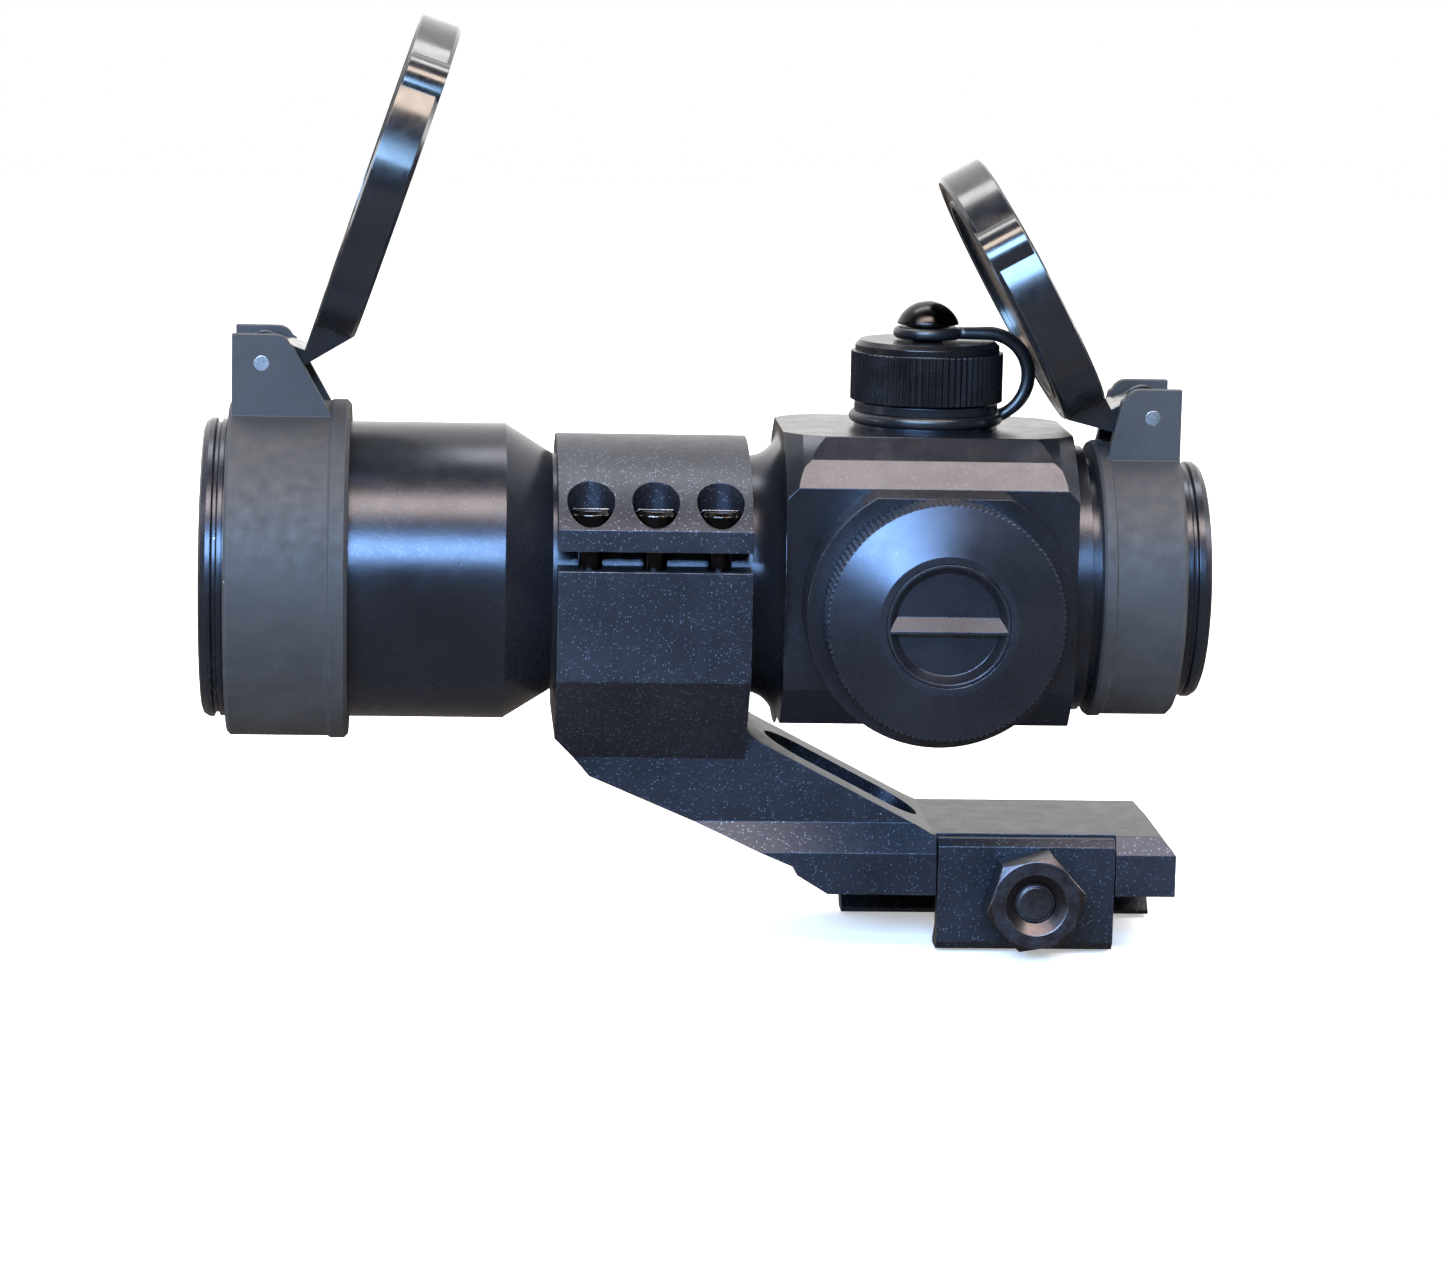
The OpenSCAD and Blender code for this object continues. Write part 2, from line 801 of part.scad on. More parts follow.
module front_cover_ring() {
    color([0.16, 0.165, 0.175])
    difference() {
        union() {
            cover_ring(front_cover_x, front_cover_x + front_cover_length, bell_radius + 0.05,
                front_cover_radius, true);
            translate([front_pin_x, 0, axis_z + front_pin_height])
            ear_pair(3.7, 8.6, front_pin_height - 19.3);
        }
        tube_x(bell_radius + 0.05, front_cover_x - 1, front_cover_x + front_cover_length + 1);
    }
}

module rear_cover_ring() {
    color([0.16, 0.165, 0.175])
    difference() {
        union() {
            cover_ring(rear_cover_x1 - rear_cover_length, rear_cover_x1, rear_tube_radius + 0.05,
                rear_cover_radius, false);
            translate([rear_pin_x, 0, axis_z + rear_pin_height])
            mirror([1, 0, 0])
            ear_pair(3.6, 5.5, rear_pin_height - 15.2);
        }
        tube_x(rear_tube_radius + 0.05, rear_cover_x1 - rear_cover_length - 1, rear_cover_x1 + 1);
    }
}

module hinge_pin(x, z) {
    color([0.8, 0.8, 0.78])
    translate([x, 0, z])
    rod_y(pin_radius, -ear_span / 2 - 0.05, ear_span / 2 + 0.05);
}

module front_hinge_pin() hinge_pin(front_pin_x, axis_z + front_pin_height);
module rear_hinge_pin() hinge_pin(rear_pin_x, axis_z + rear_pin_height);

// a closed-coil torsion spring round the pin with its fixed leg against the cover ring
module hinge_spring(foot) {
    coils = 5;
    pitch = 2 * spring_wire - 0.08;
    color([0.35, 0.35, 0.37])
    union() {
        rotate([90, 0, 0])
        rotate_extrude()
        for (i = [0 : coils - 1])
        translate([spring_coil, (i - (coils - 1) / 2) * pitch])
        circle(r = spring_wire, $fn = 24);
        translate([0, -(coils - 1) / 2 * pitch, -foot])
        cylinder(h = foot - spring_coil, r = spring_wire - 0.05, $fn = 24);
    }
}

module front_hinge_spring() {
    translate([front_pin_x, 0, axis_z + front_pin_height])
    hinge_spring(front_pin_height - front_cover_radius);
}

module rear_hinge_spring() {
    translate([rear_pin_x, 0, axis_z + rear_pin_height])
    hinge_spring(rear_pin_height - rear_cover_radius);
}

// a lid in its closed place, hanging from a pin at the origin, lens towards +x
module lid(pin_height, radius, thick, face_gap, cavity, cavity_depth, tab_angle) {
    rim = -(pin_height - radius);
    recess = 0.77 * radius;
    difference() {
        union() {
            translate([-face_gap - thick, 0, -pin_height])
            rotate([0, 90, 0])
            rotate_extrude()
            polygon([[0, 0], [radius - 0.5, 0], [radius, 0.5], [radius, thick - 0.25],
                [radius - 0.25, thick], [0, thick]]);
            // arm and knuckle
            plate_y([[-1.6, 2.77], [-face_gap - thick + 0.3, rim - 0.6], [-face_gap - thick + 0.3, rim - 2],
                [-face_gap, rim - 2], [-face_gap, -knuckle_radius], [0, -knuckle_radius]], knuckle_half);
            rod_y(knuckle_radius, -knuckle_half, knuckle_half);
            // thumb tab
            translate([-face_gap - thick, 0, -pin_height])
            rotate([-tab_angle, 0, 0])
            translate([0, 0, -radius + 3])
            rotate([0, 90, 0])
            cylinder(h = thick - 0.4, r = 4);
        }
        rod_y(pin_radius + running, -20, 20);
        rod_y(knuckle_radius + 0.1, -spring_half, spring_half);
        translate([-face_gap - cavity_depth, 0, -pin_height])
        rotate([0, 90, 0])
        cylinder(h = cavity_depth + 10, r = cavity);
        // shallow round recess with a thin raised wall on the outer face
        translate([-face_gap - thick - 1, 0, -pin_height])
        rotate([0, 90, 0])
        cylinder(h = 1.6, r = recess);
        translate([-face_gap - thick - 1, 0, -pin_height])
        rotate([0, 90, 0])
        difference() {
            cylinder(h = 1.25, r = radius - 1.3);
            translate([0, 0, -1])
            cylinder(h = 3, r = recess + 0.7);
        }
    }
}

module front_lid() {
    color([0.05, 0.055, 0.065])
    translate([front_pin_x, 0, axis_z + front_pin_height])
    rotate([0, 180 + front_lid_lean, 0])
    lid(front_pin_height, front_lid_radius, front_lid_thickness, front_face_gap, front_cavity,
        front_cavity_depth, 46);
}

module rear_lid() {
    color([0.05, 0.055, 0.065])
    translate([rear_pin_x, 0, axis_z + rear_pin_height])
    rotate([0, -180 - rear_lid_lean, 0])
    mirror([1, 0, 0])
    lid(rear_pin_height, rear_lid_radius, rear_lid_thickness, rear_face_gap, rear_cavity,
        rear_cavity_depth, 62);
}

// ---- ring and mount ----

function screw_x(i) = (ring_x0 + ring_x1) / 2 + (i - 1) * screw_pitch;

module mount_base() {
    blend_x = ring_x1 + 2.2;
    arm_foot_x = -12.4;
    side_z = [axis_z + saddle_top, saddle_bevel_top, saddle_bevel_low];
    color([0.045, 0.05, 0.06])
    difference() {
        union() {
            // saddle under the tube
            intersection() {
                bar_x([[-saddle_half, side_z[0]], [-saddle_half, side_z[1]], [-arm_half, side_z[2]],
                    [-arm_half, arm_low - 3], [arm_half, arm_low - 3], [arm_half, side_z[2]],
                    [saddle_half, side_z[1]], [saddle_half, side_z[0]]], ring_x0, ring_x1);
                plate_y([[ring_x0, side_z[0]], [ring_x0, 20.6], [ring_x0 + 4.5, 15.4],
                    [ring_x1, 7.1], [ring_x1, side_z[0]]], saddle_half + 1);
            }
            // arm, sloping down to the base
            plate_y([[ring_x0 + 4.5, 15.4], [ring_x0 + 10, 24], [ring_x1 - 0.5, 24], [ring_x1, 21.8],
                [ring_x1 + 0.7, 20.9], [blend_x, 19.8], [arm_foot_x, base_top], [-4, base_top],
                [-4, 2], [base_front_x, 2], [-30.2, 4.5]], arm_half);
            // base on the rail
            intersection() {
                bar_x([[-base_half, bevel_low], [-base_half, base_low], [-seat_half, base_low],
                    [-seat_half, 0], [seat_half, 0], [seat_half, base_low], [base_half, base_low],
                    [base_half, bevel_low], [arm_half, arm_low], [-arm_half, arm_low]], -50, base_x1);
                plate_y([[-46, 20], [-46, 11.2], [-30.2, 4.5], [-29.6, 3.4], [base_front_x, 0],
                    [base_x1, 0], [base_x1, bevel_low], [base_x1 - 2, base_top], [arm_foot_x, base_top],
                    [arm_foot_x - 2.6, arm_low]], base_half + 1);
            }
            // fixed jaw on the far side
            bar_x([[rail_waist, 3], [rail_waist, -rail_widest_low],
                [lip_tip, -rail_widest_low - rail_waist + lip_tip], [lip_tip, -jaw_drop],
                [base_half - 1, -jaw_drop], [base_half, -jaw_drop + 1], [base_half, 3]],
                base_front_x + 2, base_x1);
        }
        tube_x(ring_bore, ring_x0 - 1, ring_x1 + 1);
        // lightening slot in the arm's sloping face
        translate([(blend_x + arm_foot_x) / 2, 0, (19.8 + base_top) / 2])
        rotate([0, atan((19.8 - base_top) / (arm_foot_x - blend_x)), 0])
        union() {
            slot_run = 11.4;
            translate([-slot_run / 2, -slot_width / 2, -slot_depth])
            cube([slot_run, slot_width, 10]);
            for (s = [-1, 1])
            translate([s * slot_run / 2, 0, -slot_depth])
            cylinder(h = 10, r = slot_width / 2);
        }
        // recess for the clamp jaw
        translate([-jaw_front - jaw_play, -base_half - 1, -1])
        cube([jaw_front + jaw_back + 2 * jaw_play, base_half + 1 - jaw_inner + free_gap, 20]);
        translate([0, 0, bolt_height])
        rod_y(bolt_radius + running, -30, 30);
        for (i = [0 : 2])
        for (s = [-1, 1])
        translate([screw_x(i), s * screw_y, axis_z + screw_end - 1])
        cylinder(h = 30, r = ring_screw_radius + 0.02);
    }
}

module ring_cap() {
    color([0.06, 0.062, 0.068])
    difference() {
        translate([ring_x0, 0, axis_z])
        rotate([90, 0, 90])
        linear_extrude(ring_width)
        intersection() {
            translate([0, ring_cap_centre])
            circle(r = ring_cap_curve, $fn = 128);
            translate([-saddle_half, ring_cap_low])
            square([2 * saddle_half, 30]);
        }
        tube_x(ring_bore, ring_x0 - 1, ring_x1 + 1);
        for (i = [0 : 2])
        for (s = [-1, 1])
        translate([screw_x(i), s * screw_y, axis_z]) {
            cylinder(h = 30, r = ring_screw_radius + 0.15);
            translate([0, 0, screw_seat])
            cylinder(h = 30, r = screw_pocket);
        }
    }
}

module ring_screws() {
    color([0.12, 0.12, 0.13])
    for (i = [0 : 2])
    for (s = [-1, 1])
    translate([screw_x(i), s * screw_y, axis_z])
    difference() {
        union() {
            translate([0, 0, screw_end])
            cylinder(h = screw_seat - screw_end + 0.5, r = ring_screw_radius);
            translate([0, 0, screw_seat])
            rotate_extrude()
            polygon([[0, 0], [screw_head, 0], [screw_head, screw_head_tall - 0.5],
                [screw_head - 0.5, screw_head_tall], [0, screw_head_tall]]);
        }
        translate([-4, -0.4, screw_seat + screw_head_tall - 1])
        cube([8, 0.8, 2]);
    }
}

module clamp_jaw() {
    color([0.05, 0.053, 0.062])
    difference() {
        bar_x([[-jaw_face, 7.3], [-jaw_face + 0.9, base_top - 0.3], [-jaw_inner, base_top - 0.3],
            [-jaw_inner, -0.8], [-rail_waist, -1.4], [-rail_waist, -rail_widest_low],
            [-lip_tip, -rail_widest_low - rail_waist + lip_tip], [-lip_tip, -jaw_drop],
            [-jaw_face + 1, -jaw_drop], [-jaw_face, -jaw_drop + 1.1]], -jaw_front, jaw_back);
        translate([0, 0, bolt_height])
        rod_y(bolt_radius + running, -30, 0);
    }
}

module cross_bolt() {
    head = 4.3;
    color([0.3, 0.3, 0.31])
    translate([0, 0, bolt_height])
    difference() {
        union() {
            rod_y(bolt_radius, -bolt_tip + 0.5, base_half + 0.5);
            rod_y(bolt_radius - 0.45, -bolt_tip, 0);
            rod_y(head, base_half, base_half + 2.6);
        }
        translate([-head - 1, base_half + 1.5, -0.5])
        cube([2 * head + 2, 3, 1]);
    }
}

module clamp_nut() {
    corner = nut_flats / 2 / cos(30);
    chamfer = 0.55;
    color([0.3, 0.3, 0.31])
    translate([0, -nut_low, bolt_height])
    rotate([90, 0, 0])
    difference() {
        intersection() {
            rotate([0, 0, 12])
            cylinder(h = nut_height, r = corner, $fn = 6);
            rotate_extrude()
            polygon([[0, 0], [corner - 0.9, 0], [corner + 0.3, 1.33 * chamfer],
                [corner + 0.3, nut_height - 1.33 * chamfer], [corner - 0.9, nut_height], [0, nut_height]]);
        }
        translate([0, 0, -1])
        cylinder(h = nut_height + 2, r = bolt_radius + running);
        translate([0, 0, nut_height - 1.2])
        rotate_extrude()
        polygon([[0, 0], [bolt_radius + 0.05, 0], [bolt_radius + 1.4, 1.2], [bolt_radius + 1.4, 2],
            [0, 2]]);
    }
}

main_housing();
objective_lens();
objective_lock_ring();
eyepiece_lens();
eyepiece_lock_ring();
inner_tube();
pivot_ring();
led_emitter();
bias_spring();
elevation_turret_base();
elevation_dial();
elevation_plunger();
elevation_cap();
elevation_cap_seal();
elevation_strap();
elevation_strap_screw();
windage_turret_base();
windage_dial();
windage_plunger();
windage_cap();
windage_cap_seal();
windage_strap();
windage_strap_screw();
switch_housing();
switch_board();
brightness_knob();
battery_cells();
battery_spring();
battery_cap();
battery_cap_seal();
front_cover_ring();
front_hinge_pin();
front_hinge_spring();
front_lid();
rear_cover_ring();
rear_hinge_pin();
rear_hinge_spring();
rear_lid();
mount_base();
ring_cap();
ring_screws();
clamp_jaw();
cross_bolt();
clamp_nut();
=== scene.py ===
"""Looks of the tube red dot sight: camera, soft studio, materials, tether straps and hinge springs.

Blender 4.5, metres, in the CAD frame: +X towards the eyepiece, +Z up from the rail, brightness knob on -Y.
"""

import json
import math

import bmesh
import bpy
from mathutils import Matrix, Vector


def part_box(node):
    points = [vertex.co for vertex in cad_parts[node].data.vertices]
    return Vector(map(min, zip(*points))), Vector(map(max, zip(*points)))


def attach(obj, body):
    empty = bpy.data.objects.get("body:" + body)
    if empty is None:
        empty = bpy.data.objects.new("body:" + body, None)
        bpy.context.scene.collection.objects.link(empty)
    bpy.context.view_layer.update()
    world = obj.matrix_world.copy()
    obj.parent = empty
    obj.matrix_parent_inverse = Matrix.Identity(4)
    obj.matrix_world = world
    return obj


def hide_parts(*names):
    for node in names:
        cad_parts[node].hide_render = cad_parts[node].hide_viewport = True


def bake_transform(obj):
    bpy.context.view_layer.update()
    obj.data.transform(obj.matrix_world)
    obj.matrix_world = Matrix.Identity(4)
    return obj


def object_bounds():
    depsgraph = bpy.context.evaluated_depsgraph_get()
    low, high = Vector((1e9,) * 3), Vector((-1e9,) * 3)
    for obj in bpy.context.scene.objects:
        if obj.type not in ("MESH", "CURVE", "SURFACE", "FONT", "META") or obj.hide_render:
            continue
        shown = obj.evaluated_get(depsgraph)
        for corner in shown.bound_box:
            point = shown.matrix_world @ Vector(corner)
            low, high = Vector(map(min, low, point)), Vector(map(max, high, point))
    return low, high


MM = 0.001

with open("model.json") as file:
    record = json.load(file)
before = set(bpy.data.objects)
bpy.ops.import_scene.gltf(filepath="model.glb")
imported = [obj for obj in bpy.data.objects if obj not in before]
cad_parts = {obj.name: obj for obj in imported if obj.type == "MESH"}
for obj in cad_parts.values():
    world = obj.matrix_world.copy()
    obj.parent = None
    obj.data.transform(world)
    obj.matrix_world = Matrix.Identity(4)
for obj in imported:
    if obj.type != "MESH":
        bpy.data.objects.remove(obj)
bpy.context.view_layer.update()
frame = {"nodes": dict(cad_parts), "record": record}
nodes = frame["nodes"]


# ---------------------------------------------------------------- camera

CAMERA_PLACE_MM = (-75.147, -597.038, 126.904)
CAMERA_YAW = 3.4814
CAMERA_DOWN = 8.9857
CAMERA_ROLL = 1.2081
LENS_MM = 118.30
SENSOR_MM = 36


def make_camera():
    yaw, down, roll = (math.radians(a) for a in (CAMERA_YAW, CAMERA_DOWN, CAMERA_ROLL))
    ahead = Vector((math.sin(yaw), math.cos(yaw), 0))
    right = Vector((math.cos(yaw), -math.sin(yaw), 0))
    up = Vector((0, 0, 1))
    look = math.cos(down) * ahead - math.sin(down) * up
    top = math.cos(down) * up + math.sin(down) * ahead
    side = math.cos(roll) * right + math.sin(roll) * top
    crown = -math.sin(roll) * right + math.cos(roll) * top
    data = bpy.data.cameras.new("camera")
    data.lens = LENS_MM
    data.sensor_width = SENSOR_MM
    data.sensor_fit = "HORIZONTAL"
    data.clip_start = 0.05
    data.clip_end = 50
    camera = bpy.data.objects.new("camera", data)
    turn = Matrix((side, crown, -look)).transposed()
    camera.matrix_world = Matrix.Translation(Vector(CAMERA_PLACE_MM) * MM) @ turn.to_4x4()
    bpy.context.collection.objects.link(camera)
    bpy.context.scene.camera = camera


make_camera()


# ---------------------------------------------------------------- node graphs

class Graph:
    """Short calls for building a shader."""

    def __init__(self, name):
        self.material = bpy.data.materials.new(name)
        self.material.use_nodes = True
        self.tree = self.material.node_tree
        self.tree.nodes.clear()
        self.place = self.add("ShaderNodeTexCoord").outputs["Object"]

    def add(self, kind, **values):
        node = self.tree.nodes.new(kind)
        for key, value in values.items():
            setattr(node, key, value)
        return node

    def put(self, socket, value):
        if isinstance(value, bpy.types.NodeSocket):
            self.tree.links.new(value, socket)
        else:
            socket.default_value = value

    def maths(self, operation, a, b=0.0, clamp=False):
        node = self.add("ShaderNodeMath", operation=operation, use_clamp=clamp)
        self.put(node.inputs[0], a)
        self.put(node.inputs[1], b)
        return node.outputs[0]

    def noise(self, size_mm, detail=2.0, stretch=(1, 1, 1)):
        """Noise from 0 to 1 with lumps of about this size."""
        node = self.add("ShaderNodeTexNoise")
        node.inputs["Scale"].default_value = 1 / (size_mm * MM)
        node.inputs["Detail"].default_value = detail
        self.put(node.inputs["Vector"], self.stretched(stretch))
        return node.outputs["Fac"]

    def stretched(self, stretch):
        if tuple(stretch) == (1, 1, 1):
            return self.place
        node = self.add("ShaderNodeMapping")
        node.inputs["Scale"].default_value = stretch
        self.put(node.inputs["Vector"], self.place)
        return node.outputs[0]

    def cells(self, size_mm):
        """A Voronoi's distance and its random number for each cell."""
        node = self.add("ShaderNodeTexVoronoi")
        node.inputs["Scale"].default_value = 1 / (size_mm * MM)
        self.put(node.inputs["Vector"], self.place)
        split = self.add("ShaderNodeSeparateColor")
        self.put(split.inputs[0], node.outputs["Color"])
        return node.outputs["Distance"], split.outputs[0]

    def ramp(self, value, low, high, to_low=0.0, to_high=1.0):
        node = self.add("ShaderNodeMapRange", clamp=True)
        for socket, number in zip(node.inputs[1:5], (low, high, to_low, to_high)):
            socket.default_value = number
        self.put(node.inputs[0], value)
        return node.outputs[0]

    def mix(self, share, a, b):
        node = self.add("ShaderNodeMix", data_type="RGBA")
        self.put(node.inputs["Factor"], share)
        self.put(node.inputs[6], rgba(a) if isinstance(a, tuple) else a)
        self.put(node.inputs[7], rgba(b) if isinstance(b, tuple) else b)
        return node.outputs[2]

    def bump(self, height, depth_mm, normal=None):
        node = self.add("ShaderNodeBump")
        node.inputs["Strength"].default_value = 1.0
        node.inputs["Distance"].default_value = depth_mm * MM
        self.put(node.inputs["Height"], height)
        if normal is not None:
            self.put(node.inputs["Normal"], normal)
        return node.outputs[0]

    def edges(self, radius_mm):
        """The normal with its edges rounded, and how near an edge is."""
        bevel = self.add("ShaderNodeBevel", samples=6)
        bevel.inputs["Radius"].default_value = radius_mm * MM
        plain = self.add("ShaderNodeNewGeometry").outputs["Normal"]
        dot = self.add("ShaderNodeVectorMath", operation="DOT_PRODUCT")
        self.put(dot.inputs[0], bevel.outputs[0])
        self.put(dot.inputs[1], plain)
        return bevel.outputs[0], self.ramp(dot.outputs["Value"], 0.995, 0.88)

    def finish(self, colour, roughness, normal=None, **constants):
        shader = self.add("ShaderNodeBsdfPrincipled")
        self.put(shader.inputs["Base Color"], rgba(colour) if isinstance(colour, tuple) else colour)
        self.put(shader.inputs["Roughness"], roughness)
        if normal is not None:
            self.put(shader.inputs["Normal"], normal)
        for key, value in constants.items():
            shader.inputs[key.replace("_", " ")].default_value = value
        output = self.add("ShaderNodeOutputMaterial")
        self.put(output.inputs["Surface"], shader.outputs[0])
        return self.material


def rgba(colour):
    return (*colour, 1.0)


def scaled(colour, gain):
    return tuple(min(c * gain, 1.0) for c in colour)


# ---------------------------------------------------------------- materials

DUST = (0.55, 0.53, 0.5)
WORN = (0.2, 0.21, 0.23)
# painted glints: size and bluish colour of the specks that stand in for light sparkling on the
# bead-blasted grain
PAINTED_GLINT_MM = 0.34
PAINTED_GLINT_TONE = (0.17, 0.22, 0.3)


def anodised(name, colour, roughness, grain_mm, grain_depth_mm, painted_glint_share=0.1, wear=0.35):
    """Bead-blasted and anodised aluminium: grain, painted glints (bluish specks of lighter colour that
    stand in for light sparkling on the blasted grain), handling marks, edges worn pale.
    """
    g = Graph(name)
    broad = g.noise(14, 3)
    smear = g.noise(2.6, 4)
    grain = g.noise(grain_mm, 2)
    # painted glints: scattered bluish specks, a painted highlight for the sparkle of light on the blasted
    # grain
    distance, chance = g.cells(PAINTED_GLINT_MM)
    painted_glints = g.maths("MULTIPLY", g.ramp(chance, 0.45, 1.0), g.ramp(distance, 0.36, 0.2))
    rounded, edge = g.edges(0.16)
    chipped = g.maths("MULTIPLY", edge, g.ramp(smear, 0.38, 0.66))
    dust_distance, dust_chance = g.cells(1.9)
    dust = g.maths("MULTIPLY", g.ramp(dust_chance, 0.975, 0.985), g.ramp(dust_distance, 0.06, 0.04))
    tone = g.mix(g.ramp(broad, 0.3, 0.7), scaled(colour, 0.82), scaled(colour, 1.2))
    # lays the painted glints over the tone
    tone = g.mix(g.maths("MULTIPLY", painted_glints, painted_glint_share), tone, PAINTED_GLINT_TONE)
    tone = g.mix(g.maths("MULTIPLY", chipped, wear), tone, WORN)
    tone = g.mix(g.maths("MULTIPLY", dust, 0.6), tone, DUST)
    rough = g.maths("ADD", roughness - 0.04, g.ramp(smear, 0.3, 0.72, 0.0, 0.06))
    rough = g.maths("ADD", rough, g.maths("MULTIPLY", g.ramp(broad, 0.35, 0.75), 0.05))
    normal = g.bump(grain, grain_depth_mm, rounded)
    return g.finish(tone, rough, normal, Metallic=0.82, Specular_IOR_Level=0.5)


def moulded(name, colour, roughness, texture_mm, texture_depth_mm, haze=0.1, coat=0.0, wear=0.15):
    """Moulded plastic or rubber: fine mould texture, faint flow marks, haze from handling, dust."""
    g = Graph(name)
    flow = g.noise(9, 3, (1, 0.6, 1.6))
    smear = g.noise(1.8, 4)
    texture = g.noise(texture_mm, 3)
    pores_distance, pores_chance = g.cells(texture_mm * 4)
    pores = g.maths("MULTIPLY", g.ramp(pores_chance, 0.8, 0.95), g.ramp(pores_distance, 0.3, 0.1))
    rounded, edge = g.edges(0.2)
    rubbed = g.maths("MULTIPLY", edge, g.ramp(smear, 0.35, 0.65))
    dust_distance, dust_chance = g.cells(2.3)
    dust = g.maths("MULTIPLY", g.ramp(dust_chance, 0.97, 0.985), g.ramp(dust_distance, 0.055, 0.035))
    tone = g.mix(g.ramp(flow, 0.3, 0.7), scaled(colour, 0.85), scaled(colour, 1.18))
    tone = g.mix(g.maths("MULTIPLY", g.ramp(texture, 0.45, 0.8), haze), tone, scaled(colour, 2.2))
    tone = g.mix(g.maths("MULTIPLY", rubbed, wear), tone, (0.3, 0.31, 0.33))
    tone = g.mix(g.maths("MULTIPLY", dust, 0.5), tone, DUST)
    rough = g.maths("ADD", roughness - 0.05, g.ramp(smear, 0.3, 0.7, 0.0, 0.1 + haze))
    height = g.maths("SUBTRACT", texture, g.maths("MULTIPLY", pores, 0.5))
    normal = g.bump(height, texture_depth_mm, rounded)
    return g.finish(tone, rough, normal, Coat_Weight=coat, Coat_Roughness=0.12)


def steel(name, colour, roughness, line_mm=0.5, stretch=(1, 12, 1), wear=0.3, stain=0.4):
    """Machined steel: tool lines, stains and bare edges."""
    g = Graph(name)
    lines = g.noise(line_mm, 3, stretch)
    blotch = g.noise(2.2, 4)
    pits = g.noise(0.35, 2)
    rounded, edge = g.edges(0.18)
    bare = g.maths("MULTIPLY", edge, g.ramp(blotch, 0.3, 0.6))
    tone = g.mix(g.ramp(lines, 0.35, 0.68), scaled(colour, 0.75), scaled(colour, 1.25))
    tone = g.mix(g.maths("MULTIPLY", g.ramp(blotch, 0.52, 0.72), stain), tone, scaled(colour, 0.5))
    tone = g.mix(g.maths("MULTIPLY", bare, wear), tone, (0.62, 0.6, 0.58))
    rough = g.maths("ADD", roughness - 0.05, g.ramp(blotch, 0.35, 0.7, 0.0, 0.16))
    height = g.maths("ADD", lines, g.maths("MULTIPLY", pits, 0.5))
    return g.finish(tone, rough, g.bump(height, 0.006, rounded), Metallic=1.0)


def glass(name, colour, tint):
    """Coated lens glass with a few specks of dust and a faint wipe haze."""
    g = Graph(name)
    wipe = g.noise(3.5, 4, (1, 2.5, 0.6))
    distance, chance = g.cells(1.4)
    dust = g.maths("MULTIPLY", g.ramp(chance, 0.9, 0.96), g.ramp(distance, 0.06, 0.03))
    tone = g.mix(g.maths("MULTIPLY", dust, 0.8), colour, DUST)
    rough = g.maths("ADD", 0.015, g.ramp(wipe, 0.55, 0.8, 0.0, 0.05))
    return g.finish(tone, rough, None, Transmission_Weight=0.86, IOR=1.52, Coat_Weight=1.0,
                    Coat_Roughness=0.02, Coat_Tint=rgba(tint), Specular_Tint=rgba(tint))


def circuit_board(name):
    """Green solder mask over copper tracks."""
    g = Graph(name)
    tracks = g.add("ShaderNodeTexBrick")
    tracks.inputs["Scale"].default_value = 420
    g.put(tracks.inputs["Vector"], g.place)
    mask = g.ramp(g.noise(0.8, 2), 0.4, 0.6)
    tone = g.mix(tracks.outputs["Fac"], (0.02, 0.14, 0.05), (0.05, 0.3, 0.1))
    tone = g.mix(g.maths("MULTIPLY", mask, 0.25), tone, (0.01, 0.08, 0.03))
    return g.finish(tone, 0.32, g.bump(tracks.outputs["Fac"], 0.02), Coat_Weight=0.4)


def emitter(name):
    """The red dot's emitter: a small lit lens."""
    g = Graph(name)
    glow = g.ramp(g.noise(0.5, 2), 0.35, 0.65)
    tone = g.mix(glow, (0.5, 0.02, 0.015), (0.85, 0.08, 0.05))
    return g.finish(tone, 0.18, None, Emission_Color=(1.0, 0.08, 0.04, 1.0), Emission_Strength=1.5)


